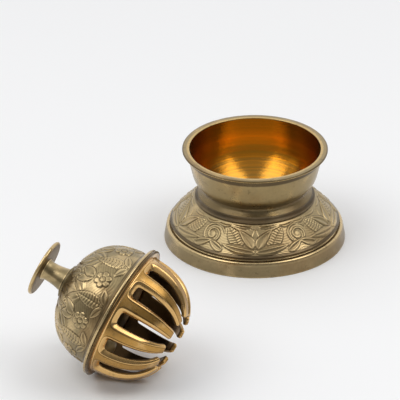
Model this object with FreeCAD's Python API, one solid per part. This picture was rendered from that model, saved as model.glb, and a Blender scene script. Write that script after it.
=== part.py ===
"""A brass claw bell, lying on its side in front of the pedestal cup that it stands in.

Millimetres, +Z up. The origin is the middle of the stand's foot, on the table. The bell is drawn
upright in its own frame, with the seam between dome and claws at height 0, and then laid down.
"""
import FreeCAD, Part
import math
import os

Vector = FreeCAD.Vector

# Fits and clearances
ring_clearance = 0.2      # between the wires of the clapper's chain, all round
wall_clearance = 0.45     # between the resting clapper ball and the bell's inner wall
cup_clearance = 0.7       # between the claws and the cup's inner wall when the bell stands in it

# Claw crown: a shell that curves inwards, slotted into claws
claw_count = 12
crown_radius = 26.9
crown_reach = 26.5        # height at which the shell would close
crown_fullness = 2.4      # power of the shell's superellipse
claw_root_thickness = 2.5
claw_tip_thickness = 2.0
claw_tip_radius = 12.8
claw_root_width = 8.6
claw_middle_width = 6.5
claw_tip_width = 4.2
slot_head_margin = 2.9    # from the flange to the parallel walls of the slots
slot_root_bevel = 1.8
slot_tip_bevel = 0.6
slot_corner = 0.9         # how much narrower the slot is at its very head
crown_flange_width = 2.8
crown_flange_thickness = 1.25

# Dome
dome_inset = 0.8          # how far the dome's wall stands inside the claws'
dome_height = 26.2
dome_fullness = 2.3
dome_wall = 1.8
dome_flange_inset = 0.2
dome_flange_thickness = 1.35
dome_cove_height = 1.35    # concave stretch between the flange and the dome's wall

# Handle
collar_radius = 7.4
collar_step = 1.3
collar_lower_height = 1.0
collar_upper_height = 0.6
collar_rounding = 0.25
stem_root_radius = 5.2
stem_waist_radius = 4.15
stem_top_radius = 4.8
stem_length = 9.7
disc_radius = 12.4
disc_thickness = 1.6
disc_crown = 0.3         # how far the disc's top swells at its middle

# Bolt through the crown, with the eye that carries the clapper
bolt_radius = 1.5
bolt_head_radius = 2.6
bolt_head_height = 0.8
washer_radius = 4.2
washer_thickness = 0.8
nut_across_flats = 6.0
nut_thickness = 2.6
eye_drop = 0.4            # bare shank between nut and eye
wire_radius = 0.9
eye_radius = 2.6
shank_bite = 0.3          # how far above the middle of the eye's wire the shank ends

# Clapper
link_straight = 3.0       # straight stretch of the link, between its two bows
rod_radius = 1.1
rod_length = 17.5         # from the ring's middle to the ball's middle
rod_end_radius = 1.5
rod_end_height = 0.6
rod_end_inset = 0.25      # the peened end stays this far inside the ball's round
ball_radius = 5.3

# Stand
stand_height = 42.8
rim_width = 3.1           # of the flat rim that the bell's flange rests on
rim_lip_thickness = 0.9
rim_slack = 1.6           # how much wider the mouth is than the claws
cup_wall = 1.1
cup_depth = 30.0
neck_ring_radius = 26.1
neck_ring_height = 3.0
neck_seat_width = 1.1     # width of the ledge that the neck ring sits on
neck_wall = 1.7           # wall of the cup's short skirt inside the foot
skirt_height = 19.0
skirt_wall = 1.6
foot_radius = 39.4
foot_band_height = 6.7
foot_band_lean = 1.0      # how much narrower the band is at its top
groove_depth = 1.2
groove_height = 1.5
shoulder_inset = 2.5      # from the foot's edge in to the shoulder's
shoulder_fullness = 1.1

# Where the bell lies, from the middle of the foot to the middle of the bell's seam
bell_x = -5.4
bell_y = -133.0

# What follows from these
crown_flange_radius = crown_radius + crown_flange_width
dome_radius = crown_radius - dome_inset
dome_flange_radius = crown_flange_radius - dome_flange_inset
mouth_radius = crown_radius + rim_slack
rim_radius = mouth_radius + rim_width
shoulder_radius = foot_radius - shoulder_inset


# ---------------------------------------------------------------- outlines

def at(point):
    """A point of an outline, given as radius and height."""
    return Vector(point[0], 0, point[1])


def line(start, end):
    return Part.makeLine(at(start), at(end))


def arc(start, middle, end):
    return Part.Arc(at(start), at(middle), at(end)).toShape()


def curve(points):
    spline = Part.BSplineCurve()
    spline.interpolate([at(p) for p in points])
    return spline.toShape()


def turned(edges):
    """The solid that an outline makes when it is turned about the Z axis."""
    face = Part.Face(Part.Wire(edges))
    solid = face.revolve(Vector(0, 0, 0), Vector(0, 0, 1), 360)
    if solid.Volume < 0:
        solid.reverse()
    return solid


def cylinder(radius, bottom, top):
    return Part.makeCylinder(radius, top - bottom, Vector(0, 0, bottom))


def bored(solid, radius, bottom, top):
    return solid.cut(cylinder(radius, bottom - 1, top + 1))


def superellipse(radius, reach, power, angle, depth=0.0):
    """Radius and height of a point on a superellipse, or depth inside it along its normal."""
    r = radius * math.cos(angle) ** (2 / power)
    h = reach * math.sin(angle) ** (2 / power)
    normal_r = reach * math.cos(angle) ** (2 - 2 / power)
    normal_h = radius * math.sin(angle) ** (2 - 2 / power)
    size = math.hypot(normal_r, normal_h)
    return r - depth * normal_r / size, h - depth * normal_h / size


def angle_at_radius(radius, power, wanted):
    return math.acos((wanted / radius) ** (power / 2))


def angle_at_height(reach, power, wanted):
    return math.asin((wanted / reach) ** (power / 2))


# ---------------------------------------------------------------- claw crown

def claw_angle(share):
    """Angle on the crown's outline: share 0 is a slot's head and 1 is the claw's tip."""
    head = angle_at_height(crown_reach, crown_fullness, slot_head_margin)
    tip = angle_at_radius(crown_radius, crown_fullness, claw_tip_radius)
    return head + share * (tip - head)


def claw_thickness(share):
    return claw_root_thickness + share * (claw_tip_thickness - claw_root_thickness)


def crown_point(share, depth=0.0):
    """A point on the crown's outer face: radius, and height below the seam as a negative number."""
    r, h = superellipse(crown_radius, crown_reach, crown_fullness, claw_angle(share), depth)
    return r, -crown_flange_thickness - h


def claw_width(share):
    """Width of a claw's metal, a parabola through its root, middle and tip widths."""
    root = claw_root_width * (1 - share) * (1 - 2 * share)
    middle = claw_middle_width * 4 * share * (1 - share)
    tip = claw_tip_width * share * (2 * share - 1)
    return root + middle + tip


def slot_half_width(share):
    return math.pi * crown_point(share)[0] / claw_count - claw_width(share) / 2


def slot_bevel(share):
    return slot_root_bevel + share * (slot_tip_bevel - slot_root_bevel)


slot_shares = (0.0, 0.055, 0.2, 0.4, 0.6, 0.8, 1.0, 1.13)   # the last one lies past the claws' tips
cutter_reach = 3 * claw_root_thickness    # how far a cutter goes in from the crown's outer face
cutter_overshoot = 0.8                    # how far it stands out of that face
head_tilt = 1.0                           # slope of the bevel at a slot's head, 1 is 45 degrees


def slot_section(share, corners, tilt=0.0):
    """A symmetric four-sided section across a slot, from two corners given as half width and depth."""
    deepest = max(depth for half, depth in corners)
    points = []
    for half, depth in corners:
        r, z = crown_point(share, depth)
        points.append(Vector(r, half, z + tilt * (deepest - depth)))
    mirrored = [Vector(p.x, -p.y, p.z) for p in reversed(points)]
    ring = points + mirrored
    return Part.makePolygon(ring + ring[:1])


def slot_cutter():
    """The cutter of the slot on the +X side: its parallel walls, and the bevel round their outside."""
    walls = []
    bevels = []
    for share in slot_shares:
        head = share == slot_shares[0]
        half = slot_half_width(share) - (slot_corner if head else 0.0)
        bevel = slot_bevel(share)
        mouth = half + bevel + cutter_overshoot
        tilt = head_tilt if head else 0.0
        walls.append(slot_section(share, [(half, cutter_reach), (half, -cutter_overshoot)]))
        bevels.append(slot_section(share, [(half, bevel), (mouth, -cutter_overshoot)], tilt))
    return Part.makeLoft(walls, True, False).fuse(Part.makeLoft(bevels, True, False))


def crown_blank():
    """The crown before it is slotted: a flange and a shell that curves inwards."""
    bead = crown_flange_thickness / 2
    shares = [0.07, 0.25, 0.45, 0.65, 0.85, 1.0]
    outer = [(crown_radius, -crown_flange_thickness)] + [crown_point(s) for s in shares]
    inner = [crown_point(s, claw_thickness(s)) for s in reversed(shares)]
    inner.append((crown_radius - claw_root_thickness, -crown_flange_thickness))
    seam = (crown_radius - claw_root_thickness, 0)
    edge = crown_flange_radius - bead
    return turned([
        line(seam, (edge, 0)),
        arc((edge, 0), (crown_flange_radius, -bead), (edge, -crown_flange_thickness)),
        line((edge, -crown_flange_thickness), outer[0]),
        curve(outer),
        line(outer[-1], inner[0]),
        curve(inner),
        line(inner[-1], seam),
    ])


def make_claw_crown():
    cutter = slot_cutter()
    copies = []
    for index in range(claw_count):
        copy = cutter.copy()
        copy.rotate(Vector(0, 0, 0), Vector(0, 0, 1), 360 * index / claw_count)
        copies.append(copy)
    return crown_blank().cut(copies)


# ---------------------------------------------------------------- dome and handle

dome_base = dome_flange_thickness + dome_cove_height
dome_reach = dome_height - dome_base


def dome_outline(depth, seat):
    """Points up the dome's wall, depth inside its face, ending above the radius of a flat seat."""
    top = angle_at_radius(dome_radius - depth, dome_fullness, seat)
    points = []
    for step in range(8):
        r, h = superellipse(dome_radius - depth, dome_reach - depth, dome_fullness, top * step / 7)
        points.append((r, dome_base + h))
    return points


def make_dome():
    bead = dome_flange_thickness / 2
    edge = dome_flange_radius - bead
    outer = dome_outline(0.0, collar_radius)
    inner = dome_outline(dome_wall, washer_radius + 1)
    inner_radius = dome_radius - dome_wall
    cove = ((dome_radius + edge) / 2 - 0.4, dome_flange_thickness + dome_cove_height * 0.3)
    return turned([
        line((inner_radius, 0), (edge, 0)),
        arc((edge, 0), (dome_flange_radius, bead), (edge, dome_flange_thickness)),
        arc((edge, dome_flange_thickness), cove, outer[0]),
        curve(outer),
        line(outer[-1], (bolt_radius, outer[-1][1])),
        line((bolt_radius, outer[-1][1]), (bolt_radius, inner[-1][1])),
        line((bolt_radius, inner[-1][1]), inner[-1]),
        curve(list(reversed(inner))),
        line(inner[0], (inner_radius, 0)),
    ])


dome_top = dome_outline(0.0, collar_radius)[-1][1]
dome_ceiling = dome_outline(dome_wall, washer_radius + 1)[-1][1]
collar_top = dome_top + collar_lower_height + collar_upper_height
stem_top = collar_top + stem_length
disc_top = stem_top + disc_thickness + disc_crown


def make_crown_collar():
    middle = dome_top + collar_lower_height
    edge = collar_radius - collar_rounding
    step = collar_radius - collar_step
    return turned([
        line((bolt_radius, dome_top), (edge, dome_top)),
        arc((edge, dome_top), (collar_radius, (dome_top + middle) / 2), (edge, middle)),
        line((edge, middle), (step, middle)),
        line((step, middle), (step, collar_top)),
        line((step, collar_top), (bolt_radius, collar_top)),
        line((bolt_radius, collar_top), (bolt_radius, dome_top)),
    ])


def make_handle_stem():
    side = [
        (stem_root_radius, collar_top),
        (stem_waist_radius + 0.4, collar_top + stem_length * 0.3),
        (stem_waist_radius, collar_top + stem_length * 0.65),
        (stem_waist_radius + 0.15, collar_top + stem_length * 0.87),
        (stem_top_radius, stem_top),
    ]
    return turned([
        line((bolt_radius, collar_top), side[0]),
        curve(side),
        line(side[-1], (bolt_radius, stem_top)),
        line((bolt_radius, stem_top), (bolt_radius, collar_top)),
    ])


def make_handle_disc():
    edge = disc_radius - disc_thickness / 2
    rim_top = stem_top + disc_thickness
    flat = bolt_head_radius
    return turned([
        line((bolt_radius, stem_top), (edge, stem_top)),
        arc((edge, stem_top), (disc_radius, stem_top + disc_thickness / 2), (edge, rim_top)),
        arc((edge, rim_top), (edge / 2, rim_top + 0.75 * disc_crown), (flat, disc_top)),
        line((flat, disc_top), (bolt_radius, disc_top)),
        line((bolt_radius, disc_top), (bolt_radius, stem_top)),
    ])


# ---------------------------------------------------------------- bolt, washer and nut

washer_bottom = dome_ceiling - washer_thickness
nut_bottom = washer_bottom - nut_thickness
eye_height = nut_bottom - eye_drop - wire_radius - eye_radius


def make_eye_bolt():
    head_top = disc_top + bolt_head_height
    round_radius = (bolt_head_radius ** 2 + bolt_head_height ** 2) / (2 * bolt_head_height)
    head = Part.makeSphere(round_radius, Vector(0, 0, head_top - round_radius))
    head = head.common(cylinder(round_radius, disc_top, head_top + 1))
    shank = cylinder(bolt_radius, eye_height + eye_radius + shank_bite, disc_top)
    eye = Part.makeTorus(eye_radius, wire_radius, Vector(0, 0, eye_height), Vector(1, 0, 0))
    return shank.fuse([head, eye]).removeSplitter()


def make_crown_washer():
    washer = cylinder(washer_radius, washer_bottom, dome_ceiling)
    return bored(washer, bolt_radius, washer_bottom, dome_ceiling)


def make_crown_nut():
    corner = nut_across_flats / 2 / math.cos(math.pi / 6)
    corners = [Vector(corner * math.cos(k * math.pi / 3), corner * math.sin(k * math.pi / 3), nut_bottom)
               for k in range(6)]
    outline = Part.Face(Part.makePolygon(corners + corners[:1]))
    nut = outline.extrude(Vector(0, 0, nut_thickness))
    return bored(nut, bolt_radius, nut_bottom, washer_bottom)


# ---------------------------------------------------------------- clapper, hanging straight down

bow_radius = 2 * wire_radius + ring_clearance
hook_pivot = eye_height - eye_radius
clapper_pivot = hook_pivot - link_straight - bow_radius
ball_height = clapper_pivot - rod_length
rod_end = ball_height - ball_radius + rod_end_inset


def bow(height, side):
    """Half a ring of wire in the XZ plane, on the upper (+1) or lower (-1) side of its centre."""
    centre = Vector(0, 0, height)
    section = Part.Face(Part.Wire(Part.makeCircle(wire_radius, centre + Vector(bow_radius, 0, 0),
                                                  Vector(0, 0, 1))))
    return section.revolve(centre, Vector(0, -side, 0), 180)


def make_clapper_link():
    lower = hook_pivot - link_straight
    legs = []
    for side in (-1, 1):
        foot = Vector(side * bow_radius, 0, lower)
        legs.append(Part.makeCylinder(wire_radius, link_straight, foot))
    return bow(hook_pivot, 1).fuse([bow(lower, -1)] + legs).removeSplitter()


def make_clapper_rod():
    ring = Part.makeTorus(bow_radius, wire_radius, Vector(0, 0, clapper_pivot), Vector(1, 0, 0))
    rod = cylinder(rod_radius, rod_end + rod_end_height / 2, clapper_pivot - bow_radius)
    button = cylinder(rod_end_radius, rod_end, rod_end + rod_end_height)
    return ring.fuse([rod, button]).removeSplitter()


def make_clapper_ball():
    ball = Part.makeSphere(ball_radius, Vector(0, 0, ball_height))
    ball = bored(ball, rod_radius, ball_height - ball_radius, ball_height + ball_radius)
    return ball.cut(cylinder(rod_end_radius, rod_end - 1, rod_end + rod_end_height))


def clapper_lean():
    """Angle between the bell's axis and the clapper that lies against the bell's lower wall."""
    inner_radius = min(crown_radius - claw_root_thickness, dome_radius - dome_wall)
    reach = hook_pivot - ball_height
    return math.asin((inner_radius - ball_radius - wall_clearance) / reach)


# ---------------------------------------------------------------- stand

bowl_bottom = stand_height - cup_depth
seat_radius = neck_ring_radius - neck_seat_width


def cup_wall_points(wall):
    """Points down the cup's wall. The claws set its inside, and wall is added to it."""
    points = []
    for share in (0.26, 0.42, 0.6):
        r, z = crown_point(share)
        points.append((r + cup_clearance + wall, stand_height + crown_flange_thickness + z))
    return points


def bowl_points(throat, wall):
    """Points of the bowl's round bottom, wall outside its polished face, from the throat to the axis."""
    drop = throat[1] - bowl_bottom
    radius = (throat[0] ** 2 + drop ** 2) / (2 * drop)
    start = math.asin((radius - drop) / radius)
    points = []
    for share in (0.2, 0.4, 0.6, 0.8, 1.0):
        angle = start + share * (math.pi / 2 - start)
        r = (radius + wall) * math.cos(angle)
        points.append((max(r, 0.0), bowl_bottom + radius - (radius + wall) * math.sin(angle)))
    return points


def make_cup():
    lip_bottom = stand_height - rim_lip_thickness
    lip_edge = rim_radius - rim_lip_thickness / 2
    neck_end = skirt_height + neck_ring_height
    seat_bottom = skirt_height - skirt_wall
    throat = cup_wall_points(0.0)[-1]
    inside = [(mouth_radius, stand_height)] + cup_wall_points(0.0)
    inside += bowl_points(throat, 0.0)
    outer_bowl = bowl_points(throat, cup_wall)
    corner = (seat_radius - neck_wall, outer_bowl[0][1])
    edge = (seat_radius - neck_wall, seat_bottom)
    outside = [(mouth_radius + cup_wall, lip_bottom)] + cup_wall_points(cup_wall)
    outside.append((seat_radius, neck_end))
    return turned([
        line(inside[-1], outer_bowl[-1]),
        curve(list(reversed(outer_bowl))),
        line(outer_bowl[0], corner),
        line(corner, edge),
        line(edge, (seat_radius, seat_bottom)),
        line((seat_radius, seat_bottom), outside[-1]),
        curve(list(reversed(outside))),
        line(outside[0], (lip_edge, lip_bottom)),
        arc((lip_edge, lip_bottom), (rim_radius, (lip_bottom + stand_height) / 2),
            (lip_edge, stand_height)),
        line((lip_edge, stand_height), inside[0]),
        curve(inside),
    ])


def make_neck_ring():
    """The soldered ring round the neck, with a cove above and a rounded edge below."""
    bottom = skirt_height
    top = bottom + neck_ring_height
    edge = (neck_ring_radius, bottom + 0.35 * neck_ring_height)
    foot = (neck_ring_radius - 0.4, bottom)
    cove = ((seat_radius + neck_ring_radius) / 2 - 0.25, bottom + 0.58 * neck_ring_height)
    return turned([
        line((seat_radius, bottom), foot),
        arc(foot, (neck_ring_radius, bottom + 0.15 * neck_ring_height), edge),
        arc(edge, cove, (seat_radius + 0.1, top)),
        line((seat_radius + 0.1, top), (seat_radius, top)),
        line((seat_radius, top), (seat_radius, bottom)),
    ])


def make_foot_skirt():
    band_top = foot_radius - foot_band_lean
    groove_bottom = foot_band_height
    groove_top = groove_bottom + groove_height
    groove_radius = shoulder_radius - groove_depth
    rise = skirt_height - groove_top
    ledge = neck_ring_radius - 0.3
    run = shoulder_radius - ledge
    shoulder = []
    inner = []
    for share in (0.0, 0.2, 0.4, 0.6, 0.8, 1.0):
        drop = 1 - share ** shoulder_fullness
        shoulder.append((ledge + run * share, groove_top + rise * drop))
        lowered = skirt_height - skirt_wall - (rise + 0.5) * (1 - drop)
        inner.append((seat_radius + (run - skirt_wall + 0.4) * share, lowered))
    inner_foot = foot_radius - skirt_wall
    return turned([
        line((seat_radius, skirt_height), shoulder[0]),
        curve(shoulder),
        arc(shoulder[-1], (groove_radius, groove_bottom + groove_height * 0.45),
            (groove_radius + 0.5, groove_bottom - 0.1)),
        line((groove_radius + 0.5, groove_bottom - 0.1), (band_top - 0.8, groove_bottom)),
        arc((band_top - 0.8, groove_bottom), (band_top - 0.2, groove_bottom - 0.25),
            (band_top, groove_bottom - 0.8)),
        line((band_top, groove_bottom - 0.8), (foot_radius, 0)),
        line((foot_radius, 0), (inner_foot, 0)),
        line((inner_foot, 0), (inner_foot - 0.6, foot_band_height - 1.5)),
        curve([(inner_foot - 0.6, foot_band_height - 1.5)] + list(reversed(inner))),
        line(inner[0], (seat_radius, skirt_height)),
    ])


# ---------------------------------------------------------------- how the bell lies

def resting_tilt():
    """Slope of the bell's axis when it lies on its flange and on the two claws beside a slot."""
    bead = crown_flange_thickness / 2

    def gap(tilt):
        flange = (crown_flange_radius - bead) * math.cos(tilt) + bead * math.sin(tilt) + bead
        claws = 0.0
        for step in range(5, 101):
            share = step / 100
            r, z = crown_point(share)
            half = slot_half_width(share) + slot_bevel(share)
            half = half - half * half / (2 * r)
            below = math.sqrt(r * r - half * half) * math.cos(tilt) - z * math.sin(tilt)
            claws = max(claws, below)
        return flange - claws

    low, high = 0.0, math.radians(60)
    for step in range(50):
        middle = (low + high) / 2
        if gap(middle) > 0:
            low = middle
        else:
            high = middle
    return low


def lowest(shape):
    box = shape.optimalBoundingBox(False, False)
    return box.ZMin


def build():
    """Every piece by name, in place."""
    parts = {
        "dome": make_dome(),
        "claw_crown": make_claw_crown(),
        "crown_collar": make_crown_collar(),
        "handle_stem": make_handle_stem(),
        "handle_disc": make_handle_disc(),
        "eye_bolt": make_eye_bolt(),
        "crown_washer": make_crown_washer(),
        "crown_nut": make_crown_nut(),
        "clapper_link": make_clapper_link(),
        "clapper_rod": make_clapper_rod(),
        "clapper_ball": make_clapper_ball(),
    }
    lean = clapper_lean()
    pivot = Vector(0, 0, hook_pivot)
    for name in ("clapper_link", "clapper_rod", "clapper_ball"):
        parts[name].rotate(pivot, Vector(0, 1, 0), math.degrees(lean))
    tilt = resting_tilt()
    turn = FreeCAD.Rotation(Vector(0, 1, 0), math.degrees(tilt) - 90)
    for shape in parts.values():
        shape.Placement = FreeCAD.Placement(Vector(0, 0, 0), turn).multiply(shape.Placement)
    drop = min(lowest(parts["claw_crown"]), lowest(parts["dome"]))
    place = Vector(bell_x, bell_y, -drop)
    for shape in parts.values():
        shape.translate(place)
    hook = turn.multVec(pivot) + place
    along = turn.multVec(Vector(-math.sin(lean), 0, -math.cos(lean)))
    report = {
        "tilt_deg": math.degrees(tilt),
        "lean_deg": math.degrees(lean),
        "seam_middle": list(place),
        "hook_pivot": list(hook),
        "clapper_pivot": list(hook + along * (link_straight + bow_radius)),
        "clapper_axis": list(turn.multVec(Vector(math.cos(lean), 0, -math.sin(lean)))),
        "bell_axis": list(turn.multVec(Vector(0, 0, 1))),
    }
    parts["cup"] = make_cup()
    parts["neck_ring"] = make_neck_ring()
    parts["foot_skirt"] = make_foot_skirt()
    return parts, report


parts, report = build()
os.makedirs("parts", exist_ok=True)
for name, shape in parts.items():
    shape.exportStep(os.path.join("parts", name + ".step"))
    state = "valid" if shape.isValid() else "INVALID"
    print(name, state, len(shape.Solids), "solid", round(shape.Volume, 2), "mm3")
for name, value in report.items():
    print(name, value)
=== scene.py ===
"""Builds the looks of an engraved brass claw bell and of the pedestal cup that it stands in.

Everything is in metres. The stand is drawn where it stands. The bell is drawn upright, with the seam
between its dome and its claws at height 0, and is then laid down by one matrix.
"""
import math

import bmesh
import bpy
import numpy as np
from bpy.props import FloatProperty, FloatVectorProperty, IntProperty, PointerProperty
from mathutils import Matrix, Vector


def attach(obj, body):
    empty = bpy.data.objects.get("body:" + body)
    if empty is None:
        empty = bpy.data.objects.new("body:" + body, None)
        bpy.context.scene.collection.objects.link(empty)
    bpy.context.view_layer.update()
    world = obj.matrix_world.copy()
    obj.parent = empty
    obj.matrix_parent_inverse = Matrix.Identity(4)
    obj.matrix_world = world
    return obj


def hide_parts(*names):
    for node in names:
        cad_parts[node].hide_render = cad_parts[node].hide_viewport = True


bl_info = {
    "name": "Brass claw bell with cup stand",
    "version": (1, 0, 0),
    "blender": (4, 5, 0),
    "location": "3D View > Sidebar > Claw bell",
    "description": "Builds the chased dome, the claws, the handle, the cup stand and the studio",
    "category": "Add Mesh",
}

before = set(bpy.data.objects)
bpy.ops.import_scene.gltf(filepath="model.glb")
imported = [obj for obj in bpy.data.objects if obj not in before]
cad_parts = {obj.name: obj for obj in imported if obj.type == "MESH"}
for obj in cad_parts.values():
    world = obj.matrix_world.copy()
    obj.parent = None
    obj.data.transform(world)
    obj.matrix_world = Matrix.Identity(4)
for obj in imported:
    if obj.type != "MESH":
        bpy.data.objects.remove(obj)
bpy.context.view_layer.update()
mm = 0.001


# ---------------------------------------------------------------- settings

def length(name, description, default):
    return FloatProperty(name=name, description=description, default=default * mm, unit="LENGTH")


def colour(name, description, default):
    return FloatVectorProperty(name=name, description=description, default=default, size=3,
                               subtype="COLOR", min=0.0, max=1.0)


def share(name, description, default):
    return FloatProperty(name=name, description=description, default=default, subtype="FACTOR",
                         min=0.0, max=1.0)


class BellSizes(bpy.types.PropertyGroup):
    claw_count: IntProperty(name="Claws", description="How many claws the crown has", default=12, min=4)
    crown_radius: length("Crown radius", "Radius of the clawed half at its flange", 26.9)
    crown_reach: length("Crown reach", "Height at which the clawed half would close", 26.5)
    claw_tip_radius: length("Tip radius", "Radius at which the claws end", 12.8)
    dome_radius: length("Dome radius", "Radius of the dome's wall", 26.1)
    dome_height: length("Dome height", "Height of the dome without the collar", 26.2)
    flange_radius: length("Flange radius", "Radius of the clawed half's flange", 29.7)
    stem_length: length("Stem length", "Length of the handle's stem", 9.7)
    disc_radius: length("Disc radius", "Radius of the handle's disc", 12.4)
    leaf_repeats: IntProperty(name="Flowers", description="How often the dome's ornament repeats",
                              default=8, min=3)
    relief: length("Relief", "Height of the chased leaves", 0.36)
    turn: FloatProperty(name="Turn", description="Where the dome's first flower stands",
                        default=math.radians(9.0), subtype="ANGLE")
    tilt: FloatProperty(name="Tilt", description="Slope of the axis as the bell lies",
                        default=math.radians(21.24377), subtype="ANGLE")
    seam: FloatVectorProperty(name="Seam", description="Middle of the seam as the bell lies",
                              default=(-5.4 * mm, -133.0 * mm, 27.9507 * mm), subtype="TRANSLATION")


class StandSizes(bpy.types.PropertyGroup):
    height: length("Height", "Height of the stand", 42.8)
    rim_radius: length("Rim radius", "Outer radius of the flat rim", 31.6)
    cup_depth: length("Depth", "Depth of the cup", 30.0)
    neck_radius: length("Neck radius", "Radius of the ring round the neck", 26.1)
    skirt_height: length("Skirt height", "Height of the flaring foot", 19.0)
    foot_radius: length("Foot radius", "Radius of the foot on the table", 39.4)
    leaf_repeats: IntProperty(name="Palmettes", description="How often the foot's ornament repeats",
                              default=5, min=3)
    relief: length("Relief", "Height of the chased leaves", 0.36)
    turn: FloatProperty(name="Turn", description="Where the foot's first palmette stands",
                        default=math.radians(-67.1), subtype="ANGLE")


class Finishes(bpy.types.PropertyGroup):
    # gold, orange, amber and the deep gold lie in bands by height inside the cup as painted reflections and
    # painted shade: the bright orange is a painted reflection where the wall turns into the bowl, and the
    # deep gold is painted shade under the rim.
    gold: colour("Gold", "Polished brass at the bottom of the cup", (0.42, 0.2, 0.022))
    orange: colour("Orange", "Polished brass where the cup's wall turns into its bowl", (0.88, 0.32, 0.008))
    amber: colour("Amber", "Polished brass on the cup's inner wall", (0.7, 0.33, 0.02))
    # Painted shade on the cup's inside under its rim.
    gold_shade_under_rim: colour("Deep gold", "Polished brass where it has browned under the rim", (0.38, 0.225, 0.03))
    claw: colour("Claws", "Brass of the claws' faces", (0.42, 0.222, 0.045))
    claw_worn: colour("Worn claws", "Brass of the claws' bevels and edges", (0.82, 0.53, 0.22))
    rim: colour("Rim", "Warm worn brass of the cup's rim and wall", (0.68, 0.462, 0.175))
    worn: colour("Worn brass", "Brass that hands have rubbed", (0.64, 0.475, 0.24))
    tarnish: colour("Tarnish", "Grey-olive tarnish", (0.25, 0.195, 0.097))
    stain: colour("Stain", "Warm brown tarnish that lies in wide patches", (0.23, 0.135, 0.05))
    # This dark colour is also the painted shade under the cup's lip, in the foot's groove and under the
    # neck ring.
    grime_and_shade: colour("Grime", "Dark tarnish in corners and grooves", (0.07, 0.045, 0.02))
    ring: colour("Neck ring", "Dark brass of the ring round the neck", (0.2, 0.145, 0.075))
    ring_dull: colour("Dull neck ring", "Tarnish of the ring round the neck", (0.12, 0.085, 0.042))
    disc: colour("Stained disc", "Lighter stains under the handle's disc", (0.18, 0.11, 0.045))
    disc_dark: colour("Dark disc", "Darker stains under the handle's disc", (0.13, 0.088, 0.035))
    hollow: colour("Inner brass", "Brown brass on the inside of the bell and the foot", (0.22, 0.135, 0.06))
    rub: share("Rub", "How much of the tarnish is rubbed off", 0.5)
    right_light: FloatProperty(name="Right lamp", description="Power of the lamp on the right",
                               default=4.4, min=0.0)
    left_light: FloatProperty(name="Left lamp", description="Power of the lamp on the left",
                              default=4.4, min=0.0)
    sky: FloatProperty(name="Sky", description="Strength of the pale surroundings", default=0.98, min=0.0)
    front_sky: share("Front of the sky", "How bright the sky is low on the viewer's side", 0.2)
    top_sky: share("Top of the sky", "How bright the sky is overhead", 0.6)


# ---------------------------------------------------------------- outlines, as rows of radius and height

def superellipse(radius, reach, power, angle, depth=0.0):
    """Radius and height on a superellipse, or depth inside it along its normal."""
    cosine = np.clip(np.cos(angle), 0.0, 1.0)
    sine = np.clip(np.sin(angle), 0.0, 1.0)
    normal_r = reach * cosine ** (2 - 2 / power)
    normal_h = radius * sine ** (2 - 2 / power)
    size = np.hypot(normal_r, normal_h)
    r = radius * cosine ** (2 / power) - depth * normal_r / size
    h = reach * sine ** (2 / power) - depth * normal_h / size
    return r, h


def flowing(points, steps):
    """A smooth curve through a few points: a cubic spline that is straight at its ends."""
    p = np.array(points, float)
    gaps = np.linalg.norm(np.diff(p, axis=0), axis=1)
    knots = np.concatenate([[0.0], np.cumsum(gaps)])
    system = np.diag([1.0, *(2 * (gaps[:-1] + gaps[1:])), 1.0])
    system += np.diag([0.0, *gaps[1:]], 1) + np.diag([*gaps[:-1], 0.0], -1)
    slopes = np.diff(p, axis=0) / gaps[:, None]
    bend = np.linalg.solve(system, 6 * np.pad(np.diff(slopes, axis=0), ((1, 1), (0, 0))))
    at = np.linspace(0.0, knots[-1], steps)
    i = np.minimum(np.searchsorted(knots, at, side="right") - 1, len(p) - 2)
    a, b, g = (values[:, None] for values in (knots[i + 1] - at, at - knots[i], gaps[i]))
    curve = (bend[i] * a ** 3 + bend[i + 1] * b ** 3) / (6 * g)
    curve += (p[i] / g - bend[i] * g / 6) * a + (p[i + 1] / g - bend[i + 1] * g / 6) * b
    return [tuple(point) for point in curve]


def through(start, middle, end, steps=7):
    """Points of a circle's arc through three points."""
    a, b, c = (np.array(p, float) for p in (start, middle, end))
    m = 2 * np.array([b - a, c - a])
    centre = np.linalg.solve(m, np.array([b @ b - a @ a, c @ c - a @ a]))
    first, second, third = (math.atan2(*(p - centre)[::-1]) for p in (a, b, c))
    sweep = (third - first) % (2 * math.pi)
    if (second - first) % (2 * math.pi) > sweep:
        sweep -= 2 * math.pi
    radius = np.linalg.norm(a - centre)
    angles = first + sweep * np.linspace(0.0, 1.0, steps)
    return [tuple(centre + radius * np.array([math.cos(t), math.sin(t)])) for t in angles]


def eased(points, radius, closed=True):
    """Rounds the sharp corners of an outline, so that its edges catch the light. A corner takes less
    than half of the sides next to it. A long side gets a point past its corner, to stay flat."""
    nearly_straight = -0.93
    out = []
    for i, point in enumerate(points):
        here = np.array(point, float)
        back = np.array(points[i - 1], float) - here
        ahead = np.array(points[(i + 1) % len(points)], float) - here
        size_back, size_ahead = np.linalg.norm(back), np.linalg.norm(ahead)
        at_end = not closed and i in (0, len(points) - 1)
        if at_end or back @ ahead < nearly_straight * size_back * size_ahead:
            out.append(tuple(here))
            continue
        cut = min(radius, 0.45 * size_back, 0.45 * size_ahead)
        back, ahead = back / size_back * cut, ahead / size_ahead * cut
        past = 1.4 if min(size_back, size_ahead) > 4 * cut else 1.0
        arc = [here + back * (1 - t) ** 2 + ahead * t ** 2 for t in (0.0, 0.25, 0.5, 0.75, 1.0)]
        if past > 1.0:
            arc = [here + back * past, *arc, here + ahead * past]
        out += [tuple(p) for p in arc]
    return out


def spaced(points, gap):
    """The same outline with points at an even gap."""
    p = np.array(points, float)
    run = np.concatenate([[0.0], np.cumsum(np.linalg.norm(np.diff(p, axis=0), axis=1))])
    steps = max(2, int(round(run[-1] / gap)) + 1)
    at = np.linspace(0.0, run[-1], steps)
    return list(zip(np.interp(at, run, p[:, 0]), np.interp(at, run, p[:, 1])))


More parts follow.
